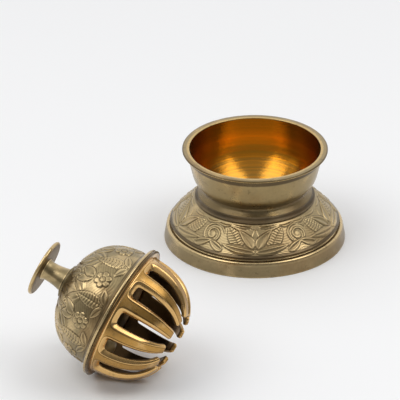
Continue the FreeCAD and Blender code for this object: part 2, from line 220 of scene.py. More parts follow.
def row_at(outline, point):
    """The row of an outline that lies nearest to a point."""
    return int(np.argmin([math.dist(p, point) for p in outline]))


# ---------------------------------------------------------------- meshes

def raw_mesh(name, points, faces, **values):
    """A mesh object from points and faces, with one number for each point under each name given."""
    mesh = bpy.data.meshes.new(name)
    mesh.from_pydata([tuple(p) for p in points], [], [tuple(f) for f in faces])
    for key, numbers in values.items():
        layer = mesh.attributes.new(key, "FLOAT", "POINT")
        layer.data.foreach_set("value", np.asarray(numbers, dtype=np.float32))
    piece = bpy.data.objects.new(name, mesh)
    bpy.context.collection.objects.link(piece)
    return piece


def sew(piece, gap=2e-6):
    """Joins the seams of a piece, turns its faces outwards and shades it smooth."""
    work = bmesh.new()
    work.from_mesh(piece.data)
    bmesh.ops.remove_doubles(work, verts=work.verts, dist=gap)
    bmesh.ops.dissolve_degenerate(work, edges=work.edges, dist=1e-7)
    bmesh.ops.recalc_face_normals(work, faces=work.faces)
    for face in work.faces:
        face.smooth = True
    work.to_mesh(piece.data)
    work.free()
    return piece


def finish(piece, material, body, node):
    """Hands a finished piece to the frame. A piece of the bell is first moved to where the bell lies."""
    if body == "bell":
        sizes = bpy.context.scene.bell_sizes
        turn = Matrix.Rotation(sizes.tilt - math.pi / 2, 4, "Y")
        piece.data.transform(Matrix.Translation(Vector(sizes.seam)) @ turn)
    dress(piece, material)
    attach(piece, body)
    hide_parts(node)


def dress(piece, material):
    piece.data.materials.clear()
    piece.data.materials.append(material)


def outline_values(outline, closed):
    """Length along an outline, and its outward normals. Outer walls run upwards."""
    p = np.array(outline, float)
    if closed:
        ahead, back = np.roll(p, -1, axis=0), np.roll(p, 1, axis=0)
    else:
        ahead, back = np.vstack([p[1:], p[-1:]]), np.vstack([p[:1], p[:-1]])
    along = ahead - back
    along /= np.maximum(np.linalg.norm(along, axis=1), 1e-12)[:, None]
    normal = np.stack([along[:, 1], -along[:, 0]], axis=1)
    run = np.concatenate([[0.0], np.cumsum(np.linalg.norm(np.diff(p, axis=0), axis=1))])
    return run, normal


def edges(run, normal):
    """How sharply an outline turns at each row: 1 at outer edges, -1 in inner corners."""
    reach, full_turn = 0.35 * mm, 1.2
    heading = np.unwrap(np.arctan2(normal[:, 1], normal[:, 0]))
    turn = np.interp(run + reach, run, heading) - np.interp(run - reach, run, heading)
    return np.clip(turn / full_turn, -1.0, 1.0)


def hollows(lift, reach=2):
    """How far each point of a relief lies below the mean of its neighbourhood."""
    around = lift[:, :-1]
    mean = sum(np.roll(around, shift, axis=1) for shift in range(-reach, reach + 1)) / (2 * reach + 1)
    padded = np.pad(mean, ((reach, reach), (0, 0)), mode="edge")
    mean = sum(padded[k:k + len(lift)] for k in range(2 * reach + 1)) / (2 * reach + 1)
    depth = mean - around
    return np.hstack([depth, depth[:, :1]])


def grid_faces(rows, columns, start=0, closed=False):
    """Faces between points that are stored row by row. If closed, the last row joins the first."""
    faces = []
    for i in range(rows if closed else rows - 1):
        here, after = start + i * columns, start + (i + 1) % rows * columns
        faces += [(here + j, here + j + 1, after + j + 1, after + j) for j in range(columns - 1)]
    return faces


def turned_sector(name, outline, count, columns, closed=True, relief=None, inner=None, rubbed=None):
    """One sector of a turned piece. relief gives a height for each angle and row. inner and rubbed have a
    number for each row: inner is 1 on the inside, and rubbed is 1 where hands have worn it bright and -1
    where dirt has stayed. rubbed also carries painted light: painted shade under the cup's lip, in the
    foot's groove and under the neck ring, and a painted highlight on the foot's ledge."""
    run, normal = outline_values(outline, closed)
    p = np.array(outline, float)
    rows, wide = len(p), columns + 1
    angle = np.linspace(0.0, 2 * math.pi / count, wide)
    lift = relief(angle, run, p) if relief else np.zeros((rows, wide))
    r = p[:, :1] + lift * normal[:, :1]
    z = p[:, 1:] + lift * normal[:, 1:]
    points = np.stack([r * np.cos(angle), r * np.sin(angle), z + 0 * angle], axis=-1).reshape(-1, 3)
    inner = np.zeros(rows) if inner is None else inner
    edge = edges(run, normal)
    if rubbed is not None:
        edge = np.where(rubbed < 0, np.minimum(edge, rubbed), np.maximum(edge, rubbed))
    return raw_mesh(name, points, grid_faces(rows, wide, 0, closed), run=np.repeat(run, wide),
                    hollow=hollows(lift).reshape(-1), inner=np.repeat(inner, wide),
                    edge=np.repeat(edge, wide))


class Nodes:
    """Builds a node tree with few words."""

    def __init__(self, tree):
        self.tree = tree

    def set(self, node, key, value):
        socket = node.inputs[key]
        if isinstance(value, bpy.types.NodeSocket):
            self.tree.links.new(value, socket)
        else:
            socket.default_value = value

    def give(self, node, **inputs):
        """Sets inputs by name. An underscore stands for the space in an input's name."""
        for key, value in inputs.items():
            self.set(node, key.replace("_", " "), value)
        return node

    def node(self, kind, **inputs):
        return self.give(self.tree.nodes.new(kind), **inputs)

    def made(self, kind, values=(), **settings):
        """A node with its settings, and with values for its first inputs."""
        node = self.tree.nodes.new(kind)
        for key, value in settings.items():
            setattr(node, key, value)
        for index, value in enumerate(values):
            self.set(node, index, value)
        return node

    def math(self, operation, *values):
        return self.made("ShaderNodeMath", values, operation=operation).outputs[0]

    def number(self, value, low, high, to_low=0.0, to_high=1.0):
        """Goes smoothly from to_low to to_high as the value goes from low to high."""
        return self.made("ShaderNodeMapRange", (value, low, high, to_low, to_high),
                         interpolation_type="SMOOTHSTEP").outputs[0]

    def noise(self, where, scale, detail=3.0, roughness=0.55):
        return self.node("ShaderNodeTexNoise", Vector=where, Scale=scale, Detail=detail,
                         Roughness=roughness).outputs["Fac"]

    def mix(self, factor, first, second):
        made = self.made("ShaderNodeMix", data_type="RGBA")
        for index, value in ((0, factor), (6, first), (7, second)):
            if not isinstance(value, (bpy.types.NodeSocket, float)):
                value = (*value, 1.0)
            self.set(made, index, value)
        return made.outputs[2]

    def bands(self, value, colours):
        """Colours that follow each other evenly as a value goes from 0 to 1."""
        made = self.node("ShaderNodeValToRGB", Fac=value)
        ramp = made.color_ramp
        while len(ramp.elements) < len(colours):
            ramp.elements.new(0.5)
        for index, tone in enumerate(colours):
            ramp.elements[index].position = index / (len(colours) - 1)
            ramp.elements[index].color = (*tone, 1.0)
        return made.outputs["Color"]

    def own(self, name):
        """One of the numbers that a piece has at each of its points."""
        return self.made("ShaderNodeAttribute", attribute_name=name).outputs["Fac"]

    def streaks(self, scale):
        """Fine turning lines that follow the piece's own outline."""
        made = self.made("ShaderNodeTexNoise", noise_dimensions="1D")
        return self.give(made, Scale=scale, Detail=4.0, W=self.own("run")).outputs["Fac"]

    def where(self):
        return self.made("ShaderNodeTexCoord").outputs["Object"]


def repeat_tree():
    """A tree that repeats a sector round the Z axis."""
    name = "Repeat round the axis"
    if name in bpy.data.node_groups:
        return bpy.data.node_groups[name]
    tree = bpy.data.node_groups.new(name, "GeometryNodeTree")
    for label, way, kind in (("Sector", "INPUT", "Geometry"), ("Count", "INPUT", "Int"),
                             ("First angle", "INPUT", "Float"), ("Finish", "INPUT", "Material"),
                             ("Ring", "OUTPUT", "Geometry")):
        tree.interface.new_socket(label, in_out=way, socket_type="NodeSocket" + kind)
    n = Nodes(tree)
    given = n.made("NodeGroupInput").outputs
    index = n.made("GeometryNodeInputIndex").outputs[0]
    step = n.math("DIVIDE", 2 * math.pi, given["Count"])
    angle = n.math("MULTIPLY_ADD", index, step, given["First angle"])
    turn = n.node("ShaderNodeCombineXYZ", Z=angle).outputs[0]
    points = n.node("GeometryNodePoints", Count=given["Count"]).outputs[0]
    copies = n.node("GeometryNodeInstanceOnPoints", Points=points, Instance=given["Sector"],
                    Rotation=turn).outputs[0]
    ring = n.node("GeometryNodeRealizeInstances", Geometry=copies).outputs[0]
    dressed = n.node("GeometryNodeSetMaterial", Geometry=ring, Material=given["Finish"]).outputs[0]
    n.made("NodeGroupOutput", (dressed,))
    return tree


def repeated(sector, name, count, material, first_angle=0.0):
    """The whole ring made from a sector, as a plain mesh."""
    tree = repeat_tree()
    modifier = sector.modifiers.new("Repeat", "NODES")
    modifier.node_group = tree
    ids = {item.name: item.identifier for item in tree.interface.items_tree if item.in_out == "INPUT"}
    modifier[ids["Count"]] = count
    modifier[ids["First angle"]] = first_angle
    modifier[ids["Finish"]] = material
    graph = bpy.context.evaluated_depsgraph_get()
    mesh = bpy.data.meshes.new_from_object(sector.evaluated_get(graph), preserve_all_data_layers=True,
                                           depsgraph=graph)
    mesh.name = name
    bpy.data.objects.remove(sector)
    ring = bpy.data.objects.new(name, mesh)
    bpy.context.collection.objects.link(ring)
    return sew(ring)


def turned(name, outline, columns=192, closed=True, inner=None, rubbed=None):
    """A whole turned piece without ornament."""
    return sew(turned_sector(name, outline, 1, columns, closed, None, inner, rubbed))


def chased_piece(name, outline, first, last, columns, ornament, fades, sizes, metal, rubbed=None):
    """A whole turned piece with ornament from its first row up to its last. fades says how far from the
    first row the ornament starts and over what length it grows, and the same from the last, in
    millimetres. columns is for the whole turn."""
    count = sizes.leaf_repeats
    low, low_reach, high, high_reach = fades

    def relief(angle, run, points):
        out = np.zeros((len(points), len(angle)))
        v = ((run[first:last] - run[first]) / mm)[:, None]
        radius = (points[first:last, 0] / mm)[:, None]
        fade = rise((v - low) / low_reach) * rise((v[-1] - high - v) / high_reach)
        height = ornament(angle[None, :], v, radius, 2 * math.pi / count)
        out[first:last] = fade * height * sizes.relief
        return out

    inner = (np.arange(len(outline)) > last).astype(float)
    inner[0] = 1.0
    sector = turned_sector(name + "_sector", outline, count, columns // count, True, relief, inner, rubbed)
    return repeated(sector, name, count, metal, sizes.turn)


# ---------------------------------------------------------------- chased ornament, in millimetres

def rise(x):
    """Goes smoothly from 0 at 0 to 1 at 1."""
    x = np.clip(x, 0.0, 1.0)
    return x * x * (3 - 2 * x)


def leaf(x, y, heading, size, width, veins, bend=0.0):
    """Height of a leaf that starts at the origin and points along its heading, and how far inside its
    edge each point lies. It has slanting veins, or where veins is below 0, grooves along it."""
    c, s = math.cos(heading), math.sin(heading)
    along = (x * c + y * s) / size
    across = -x * s + y * c - bend * size * along * along
    t = np.clip(along, 0.0, 1.0)
    lobes = 1 + 0.05 * np.cos(2 * math.pi * veins * t + math.pi) * (veins > 0)
    half = 0.5 * width * np.sin(math.pi * t ** 0.75) ** 0.75 * lobes
    inside = np.where((along > 0) & (along < 1), half - np.abs(across), -1.0)
    if veins < 0:
        ridges = np.cos(across / (half + 0.01) * math.pi * (veins + 0.5))
        return rise(inside / 0.4) * (0.62 - 0.38 * ridges), inside
    body = rise(inside / 0.45) * (0.72 + 0.28 * np.clip(np.abs(across) / (half + 0.01), 0, 1))
    middle = np.exp(-(across / 0.26) ** 2)
    slant = along * veins - 0.9 * np.abs(across) / width
    side = np.exp(-((slant - np.round(slant)) / 0.19) ** 2)
    return body - 0.45 * middle * body - 0.5 * side * rise(inside / 0.6), inside


def flower(x, y, radius, petals):
    """A flower with rounded petals and a boss in its middle."""
    r = np.hypot(x, y)
    swing = np.abs(np.cos(np.arctan2(y, x) * petals / 2))
    edge = radius * (0.62 + 0.38 * swing ** 0.6)
    inside = edge - r
    cup = 0.55 + 0.45 * swing
    rib = 0.35 * np.exp(-((1 - swing) * r / 0.35) ** 2) * (r > radius * 0.3)
    petal = np.where(inside > 0, rise(inside / 0.4) * cup - 0.6 * rib, 0.0)
    boss = np.sqrt(np.clip(1 - (r / (0.27 * radius)) ** 2, 0, 1))
    moat = 0.55 * np.exp(-((r - 0.33 * radius) / 0.22) ** 2)
    return np.maximum(petal - moat, boss)


def stem(distance, half=0.42):
    """A rounded stalk, from the distance to its middle line."""
    return 0.8 * np.sqrt(np.clip(1 - (distance / half) ** 2, 0, 1))


def scroll(x, y, radius, turns, side):
    """A stalk that winds inwards, and a bud in its middle."""
    r = np.hypot(x, y)
    a = (side * np.arctan2(y, x)) % (2 * math.pi)
    best = np.full_like(r, 9.0)
    pitch = 0.8 * radius / turns
    for k in range(int(turns) + 1):
        wound = (a + 2 * math.pi * k) / (2 * math.pi)
        apart = np.abs(r - radius + pitch * wound) / (0.05 + rise(6 * wound))
        best = np.where(wound <= turns, np.minimum(best, apart), best)
    bud = 1.0 * np.sqrt(np.clip(1 - (r / (0.3 * radius)) ** 2, 0, 1))
    return np.maximum(stem(best), bud)


def wrapped(angle, middle, period):
    """Signed angle from a middle, within one repeat."""
    return (angle - middle + period / 2) % period - period / 2


def bouquet(top, spot, leaves, period):
    """Lays leaves on both sides of a repeat's middle, each over those before it, with a groove round
    it. Each is given as a place, a height, a heading away from straight up, a length, a width, how
    many veins it has and how far it bends."""
    for place, height, heading, size, width, veins, bend in leaves:
        for side in (-1, 1):
            x, y = spot(side * place * period, height)
            made, inside = leaf(x, y, math.pi / 2 - side * math.radians(heading), size, width, veins,
                                -side * bend)
            top = np.where(inside > 0, made, np.where(inside > -0.2, -0.25, top))
    return top


def hatched(top, wave, pitch=1.15):
    """Fills the bare ground with fine waving grooves."""
    return np.where(top == 0, 0.11 * np.cos(2 * math.pi * wave / pitch) - 0.1, top)


def dome_ornament(angle, v, radius, period):
    """Height of the dome's ornament, as a share of the relief. v runs up from the flange."""
    def spot(middle, height):
        return wrapped(angle, middle, period) * radius, v - height

    top = bouquet(np.zeros(np.broadcast(angle, v).shape), spot, (
        (0.25, 21.6, 0, 7.0, 4.2, -1, 0.0), (0.5, 14.0, 0, 12.5, 5.6, -3, 0.0),
        (0.06, 20.8, 150, 13.0, 5.6, -3, -0.24), (0.0, 19.6, 0, 9.4, 5.0, 7, 0.0),
        (0.5, 1.2, 0, 14.0, 6.0, 10, 0.0), (0.46, 0.9, -52, 6.6, 3.4, -2, -0.2),
        (0.03, 11.6, 14, 8.0, 4.8, -2, 0.1)), period)
    bloom = 1.2 * flower(*spot(0.0, 7.2), 3.9, 6)
    top = hatched(np.where(bloom > 0, bloom, top),
                  v + 1.6 * np.cos(wrapped(angle, 0.0, period) * 2 * math.pi / period))
    ring = np.exp(-((radius - 8.5) / 0.24) ** 2)
    fan = np.cos(wrapped(angle, 0.0, 2 * math.pi / 28) * 28)
    petals = 0.6 * (v > 29.0) * rise((radius - 8.8) / 0.5) * (0.5 + 0.5 * fan)
    return top + petals - 0.9 * ring


def foot_ornament(angle, v, radius, period):
    """Height of the foot's ornament, as a share of the relief. v runs up from the groove."""
    def spot(middle, height):
        return wrapped(angle, middle, period) * radius, v - height

    top = scroll(*spot(period / 2, 8.4), 5.4, 2, 1)
    top = bouquet(top, spot, (
        (0.16, 4.6, 26, 10.6, 7.4, 9, 0.16), (0.0, 4.2, 0, 9.0, 3.8, -1, 0.0),
        (0.025, 4.2, 20, 9.8, 4.8, -2, 0.3), (0.01, 2.7, 86, 15.0, 4.4, -3, -0.08),
        (0.05, 14.0, 76, 11.5, 3.2, -2, 0.12), (0.335, 2.2, 72, 8.2, 3.8, -2, -0.14),
        (0.31, 14.2, 92, 7.8, 3.0, -2, -0.12)), period)
    return hatched(top, v + 1.2 * np.cos(wrapped(angle, 0.0, period) * 6 * math.pi / period))


# ---------------------------------------------------------------- materials

bump_depth = 0.03 * mm
# How fine the finishes are, in cells of noise on a metre
stain_scale, patch_scale, speck_scale, grain_scale = 42.0, 95.0, 380.0, 900.0
band_scale, line_scale = 700.0, 2600.0


def finishes():
    return bpy.context.scene.finishes


def new_material(name):
    """The node builder of a new material, the material and its shader."""
    material = bpy.data.materials.new(name)
    material.use_nodes = True
    return Nodes(material.node_tree), material, material.node_tree.nodes["Principled BSDF"]


def brass(name, rub, rough, colours=("worn", "tarnish", "grime_and_shade"), lines=0.0, chased=0.0, inside=None,
          even=0.0, spun=0.0, coat=0.3, stain=0.7):
    """Brass whose tarnish is rubbed off in patches and on edges. colours names its rubbed, its dull and
    its dark colour. lines is how deep its turning lines are, chased how dark its own hollows, even how
    little its patches show, coat how thick its lacquer and stain how brown its patches of tarnish.
    spun stretches reflections across the turning lines. inside holds names of colours, a roughness and
    two heights between which the colours lie, or none for patches, and dresses the faces that the
    piece's own inner number marks."""
    look = finishes()
    bright, dull, dark = (getattr(look, key) for key in colours)
    r, material, shader = new_material(name)
    where = r.where()
    clouds = r.noise(where, patch_scale, 4.0)
    grain = r.noise(where, grain_scale, 2.0)
    specks = r.noise(where, speck_scale, 3.0, 0.65)
    edge = r.own("edge")
    # Positive edge numbers brighten: worn edges, and the painted highlight on the foot's ledge.
    worn = r.number(edge, 0.12, 0.75, 0.0, 0.85)
    clean = r.number(clouds, 0.66 - 0.42 * rub, 0.82 - 0.3 * rub)
    clean = r.math("MULTIPLY_ADD", clean, 0.75 * (1 - even), 0.35 * even)
    clean = r.math("MULTIPLY_ADD", grain, 0.25, clean)
    clean = r.math("MAXIMUM", clean, worn)
    stained = r.number(r.noise(where, stain_scale, 3.0), 0.48, 0.66, 0.0, stain)
    tone = r.mix(clean, r.mix(stained, dull, look.stain), bright)
    tone = r.mix(r.number(specks, 0.56, 0.74, 0.0, 0.4), tone, dark)
    # Negative edge numbers darken: dirt in inner corners, and painted shade under the cup's lip, in the
    # foot's groove and under the neck ring.
    tone = r.mix(r.number(edge, -0.1, -0.6, 0.0, 0.85), tone, dark)
    roughness = r.number(clouds, 0.35, 0.7, rough * 1.3, rough * 0.8)
    roughness = r.math("MULTIPLY_ADD", grain, 0.08, roughness)
    roughness = r.math("MULTIPLY_ADD", worn, -0.12, roughness)
    height = r.math("MULTIPLY", grain, 0.35)
    if chased:
        hollow = r.own("hollow")
        tone = r.mix(r.number(hollow, 0.01 * mm, 0.1 * mm, 0.0, chased), tone, dark)
        high = r.number(hollow, -0.015 * mm, -0.09 * mm, 0.0, 0.7 * chased)
        tone = r.mix(high, tone, bright)
        roughness = r.math("MULTIPLY_ADD", high, -0.15, roughness)
    if lines:
        height = r.math("MULTIPLY_ADD", r.streaks(line_scale), lines, height)
    if inside:
        names, smooth, heights = inside
        # Bands by height are painted light: on the cup's inside they paint its reflections and the shade
        # under its rim.
        if heights:
            z = r.node("ShaderNodeSeparateXYZ", Vector=where).outputs["Z"]
            place = r.math("MULTIPLY_ADD", r.streaks(band_scale), 0.5, r.number(z, *heights, -0.22, 0.85))
        else:
            place = r.number(clouds, 0.4, 0.65)
        within = r.own("inner")
        tone = r.mix(within, tone, r.bands(place, [getattr(look, key) for key in names]))
        gap = r.math("SUBTRACT", smooth, roughness)
        roughness = r.math("MULTIPLY_ADD", gap, within, roughness)
    bump = r.node("ShaderNodeBump", Height=height, Distance=bump_depth, Strength=0.6)
    r.give(shader, Base_Color=tone, Roughness=roughness, Normal=bump.outputs["Normal"], Metallic=1.0,
           Coat_Weight=coat, Coat_Roughness=0.3)
    if spun:
        around = r.made("ShaderNodeTangent", direction_type="RADIAL", axis="Z").outputs[0]
        r.give(shader, Tangent=around, Anisotropic=spun, Anisotropic_Rotation=0.25)
    return material


# ---------------------------------------------------------------- bell

crown_fullness = 2.4
crown_flange = 1.25 * mm
claw_root, claw_tip = 2.5 * mm, 2.0 * mm
claw_widths = (8.6 * mm, 6.5 * mm, 4.2 * mm)
slot_head = 2.9 * mm
slot_bevels = (1.8 * mm, 0.6 * mm)
slot_corner_length, slot_squareness = 1.7 * mm, 0.55
edge_round = 0.3 * mm
tip_round = 0.75 * mm
corner_rows, claw_rows = 12, 34
half_claw_points = 8


class Crown:
    """Places points on the clawed half, for the slot on the +X side. A length runs along the outer face
    from the flange."""

    def __init__(self, sizes):
        self.radius, self.reach = sizes.crown_radius, sizes.crown_reach
        self.step = math.pi / sizes.claw_count
        self.head_angle = math.asin((slot_head / self.reach) ** (crown_fullness / 2))
        tip_angle = math.acos((sizes.claw_tip_radius / self.radius) ** (crown_fullness / 2))
        self.angles = np.linspace(0.0, tip_angle, 1500)
        r, h = superellipse(self.radius, self.reach, crown_fullness, self.angles)
        self.run = np.concatenate([[0.0], np.cumsum(np.hypot(np.diff(r), np.diff(h)))])
        self.head = float(np.interp(self.head_angle, self.angles, self.run))
        self.corner = self.head + slot_corner_length
        self.end = float(self.run[-1])

    def share(self, run):
        """How far along the claws a length is: 0 at the slots' heads and 1 at the tips."""
        angle = np.interp(run, self.run, self.angles)
        return np.clip((angle - self.head_angle) / (self.angles[-1] - self.head_angle), 0, 1)

    def thickness(self, run):
        return claw_root + self.share(run) * (claw_tip - claw_root)

    def bevel(self, run):
        return slot_bevels[0] + self.share(run) * (slot_bevels[1] - slot_bevels[0])

    def meridian(self, run, depth):
        """Radius and height at a length and a depth below the outer face."""
        angle = np.interp(run, self.run, self.angles)
        r, h = superellipse(self.radius, self.reach, crown_fullness, angle, depth)
        return r, -crown_flange - h

    def at_angle(self, run, depth, angle):
        r, z = self.meridian(run, depth)
        return np.array([r * math.cos(angle), r * math.sin(angle), z])

    def half_slot(self, run):
        """Half of a slot's width: what the claws, whose width follows a parabola, leave free."""
        s = self.share(run)
        root, middle, tip = claw_widths
        width = root * (1 - s) * (1 - 2 * s) + middle * 4 * s * (1 - s) + tip * s * (2 * s - 1)
        return self.step * self.meridian(run, 0.0)[0] - width / 2

    def slot_side(self, row, offset, depth):
        """Length and angle on the slot's outline, at an offset from its wall and a depth. row is 0 to 1
        round the head's corner and then runs on to 2 at the tip."""
        run, across = self.corner + (row - 1) * (self.end - self.corner), 1.0
        if row < 1.0:
            swing = row * math.pi / 2
            corner = (slot_corner_length + offset) * (1 - math.cos(swing) ** slot_squareness)
            run, across = self.head - offset + corner, math.sin(swing) ** slot_squareness
        half = (self.half_slot(run) + offset) * across
        return run, math.asin(min(half / self.meridian(run, depth)[0], math.sin(self.step)))

    def claw_middle(self, row, offset):
        """The length at which a row meets the claw's middle."""
        if row < 1.0:
            return self.head - offset + row * (slot_corner_length + offset)
        return self.corner + (row - 1) * (self.end - self.corner)


def claw_edge(bevel, wall):
    """Offsets from the slot's wall, and depths, from the claw's face over its bevel to its inside."""
    r = edge_round
    return [(bevel + r, 0.0), (bevel + 0.35 * r, 0.06 * r), (bevel - 0.15 * r, 0.3 * r),
            (0.5 * bevel, 0.5 * bevel), (0.35 * r, bevel - 0.3 * r), (0.06 * r, bevel + 0.1 * r),
            (0.0, bevel + 0.6 * r), (0.0, (bevel + wall) / 2), (0.0, wall - r),
            (0.09 * r, wall - 0.5 * r), (0.35 * r, wall - 0.12 * r), (r, wall)]


def claw_section(crown, row):
    """The points across half a claw at a row: outer face, bevel, wall and inner face."""
    beside = crown.head + max(row - 1, 0) * (crown.end - crown.head)
    edge = claw_edge(crown.bevel(beside), crown.thickness(beside))
    toward_middle = np.linspace(0.0, 1.0, half_claw_points)[1:]
    faces = []
    for offset, depth in (edge[0], edge[-1]):
        run, angle = crown.slot_side(row, offset, depth)
        middle = crown.claw_middle(row, offset)
        faces.append([crown.at_angle(run + t * (middle - run), depth, angle + t * (crown.step - angle))
                      for t in toward_middle])
    rounded = []
    for offset, depth in edge:
        run, angle = crown.slot_side(row, offset, depth)
        rounded.append(crown.at_angle(run, depth, angle))
    return faces[0][::-1] + rounded + faces[1]


def rounded_tip(crown, last):
    """Sections that close a claw after its last one, each smaller and further ahead."""
    centre = (last[0] + last[-1]) / 2
    through_wall = last[-1] - last[0]
    wall = np.linalg.norm(through_wall)
    inward = through_wall / wall
    side = np.array([-math.sin(crown.step), math.cos(crown.step), 0.0])
    ahead = np.cross(side, inward)
    ahead *= -np.sign(ahead[2])
    local = last - centre
    half_width = abs(np.max(-local @ side))
    sections = []
    for swing in np.radians((20, 45, 70, 90)):
        back = tip_round * (1 - math.sin(swing))
        inset = tip_round * (1 - math.cos(swing))
        a = (local @ side)[:, None] * side * (1 - inset / half_width)
        b = (local @ inward)[:, None] * inward * (1 - inset / (wall / 2))
        sections.append(centre + a + b - ahead * back)
    return sections


def claw_marks(rows, across):
    """Which points of a claw lie on its inside, and which are worn or grimy, row by row. The tips,
    which are the last rows, are browned less on the inside."""
    tip_rows, tip_share = 12, 0.6
    inside = [0.0] * 12 + [0.2, 0.4, 0.7, 0.9] + [1.0] * (across - 16)
    worn = [0.0] * 5 + [-0.25, -0.6, 0.0, 0.9, 0.6, 0.5, 0.6, 0.9, 0.0] + [0.0] * (across - 14)
    inner = np.tile(inside, (rows, 1))
    inner[-tip_rows:] *= tip_share
    return list(inner.reshape(-1)), worn * rows


def crown_rings(sizes, crown):
    """Outlines of the flange with the face above the slots, and of the lining behind them."""
    radius = sizes.crown_radius
    bead = crown_flange / 2
    edge = sizes.flange_radius - bead
    flange = [(radius - claw_root, 0.0), (edge, 0.0)]
    flange += through((edge, 0.0), (sizes.flange_radius, -bead), (edge, -crown_flange), 9)[1:]
    # A small fillet where the flange meets the face
    flange += [(radius + 0.5 * mm, -crown_flange), (radius + 0.15 * mm, -crown_flange - 0.05 * mm)]
    top_run = crown.head - slot_bevels[0] - edge_round
    flange += [tuple(map(float, crown.meridian(run, 0.0))) for run in np.linspace(0.4 * mm, top_run, 4)]
    lining = [(radius - claw_root, 0.0), (radius - claw_root, -crown_flange)]
    lining += [tuple(map(float, crown.meridian(run, crown.thickness(run))))
               for run in np.linspace(0.3 * mm, crown.head - edge_round, 4)]
    return flange, lining


def claw_sector(sizes):
    """Half a claw on each side of a slot, with its part of the flange."""
    crown = Crown(sizes)
    rows = [i / corner_rows for i in range(corner_rows)]
    rows += [1 + i / claw_rows for i in range(claw_rows + 1)]
    sections = [claw_section(crown, row) for row in rows]
    sections += rounded_tip(crown, np.array(sections[-1]))
    grid = np.array(sections)
    # The last section before the rounded tip takes the mean of its neighbours, so that no edge shows
    grid[len(rows) - 1] = (grid[len(rows) - 2] + grid[len(rows)]) / 2
    points = list(grid.reshape(-1, 3))
    count, across = grid.shape[:2]
    inner, worn = claw_marks(count, across)
    faces = grid_faces(count, across)
    faces.append(tuple(range((count - 1) * across, count * across)))
    wide = half_claw_points
    for outline, mark in zip(crown_rings(sizes, crown), (0.0, 1.0)):
        faces += grid_faces(len(outline), wide, len(points))
        inner += [mark] * (wide * len(outline))
        worn += list(np.repeat(edges(*outline_values(outline, False)), wide))
        for r, z in outline:
            turns = np.linspace(1.0, 0.0, wide) * crown.step
            points += [np.array([r * math.cos(t), r * math.sin(t), z]) for t in turns]
    start = len(points)
    points += [p * np.array([1, -1, 1]) for p in points]
    faces += [tuple(start + index for index in reversed(face)) for face in faces]
    return raw_mesh("claw_sector", points, faces, inner=inner * 2, edge=worn * 2)


class CLAWBELL_OT_claws(bpy.types.Operator):
    """Builds the clawed half of the bell"""
    bl_idname = "claw_bell.claws"
    bl_label = "Claws"

    def execute(self, context):
        sizes = context.scene.bell_sizes
        metal = brass("Polished claw brass", 0.3, 0.22, ("claw_worn", "claw", "grime_and_shade"),
                      inside=(("hollow", "grime_and_shade"), 0.45, None), coat=0.1, stain=0.3)
        crown = repeated(claw_sector(sizes), "claws", sizes.claw_count, metal)
        finish(crown, metal, "bell", "claw_crown")
        return {"FINISHED"}


dome_fullness = 2.3
dome_wall = 1.8 * mm
dome_flange = 1.35 * mm
dome_flange_inset = 0.2 * mm
dome_cove = 1.35 * mm
collar_radius = 7.4 * mm
collar_step = 1.3 * mm
collar_heights = (1.0 * mm, 0.6 * mm)
collar_rounding = 0.25 * mm
stem_radii = ((0.0, 5.2 * mm), (0.3, 4.55 * mm), (0.65, 4.15 * mm), (0.87, 4.3 * mm), (1.0, 4.8 * mm))
stem_rounding = 0.2 * mm
disc_thickness = 1.6 * mm
disc_crown = 0.3 * mm
disc_rounding = 0.1 * mm
bolt_radius = 1.5 * mm
bolt_head_radius = 2.6 * mm
washer_radius = 4.2 * mm


def dome_side(sizes, depth, seat, steps):
    """The dome's wall from its flange up, depth inside its face."""
    radius = sizes.dome_radius - depth
    base = dome_flange + dome_cove
    top = math.acos((seat / radius) ** (dome_fullness / 2))
    points = []
    for angle in np.linspace(0.0, top, steps):
        r, h = superellipse(radius, sizes.dome_height - base - depth, dome_fullness, angle)
        points.append((float(r), float(base + h)))
    return points


def dome_outline(sizes):
    """The dome's whole outline, and the first row of its face and the one after its last."""
    bead = dome_flange / 2
    edge = sizes.flange_radius - dome_flange_inset - bead
    outer = spaced(dome_side(sizes, 0.0, collar_radius, 400), 0.255 * mm)
    inner = spaced(dome_side(sizes, dome_wall, washer_radius + 1 * mm, 200), 1.6 * mm)
    cove = ((sizes.dome_radius + edge) / 2 - 0.4 * mm, dome_flange + 0.3 * dome_cove)
    points = [(sizes.dome_radius - dome_wall, 0.0), (edge, 0.0)]
    points += through((edge, 0.0), (edge + bead, bead), (edge, dome_flange), 9)[1:]
    points += through((edge, dome_flange), cove, outer[0], 7)[1:-1]
    first = len(points)
    points += outer
    last = len(points)
    points += [(bolt_radius, outer[-1][1]), (bolt_radius, inner[-1][1])] + inner[::-1]
    return points, first, last


class CLAWBELL_OT_dome(bpy.types.Operator):
    """Builds the chased dome of the bell"""
    bl_idname = "claw_bell.dome"
    bl_label = "Dome"

    def execute(self, context):
        metal = brass("Chased dome brass", finishes().rub, 0.3, chased=0.7,
                      inside=(("hollow", "grime_and_shade"), 0.5, None))
        sizes = context.scene.bell_sizes
        dome = chased_piece("chased_dome", *dome_outline(sizes), 576, dome_ornament,
                            (0.5, 0.8, 0.3, 0.4), sizes, metal)
        finish(dome, metal, "bell", "dome")
        return {"FINISHED"}


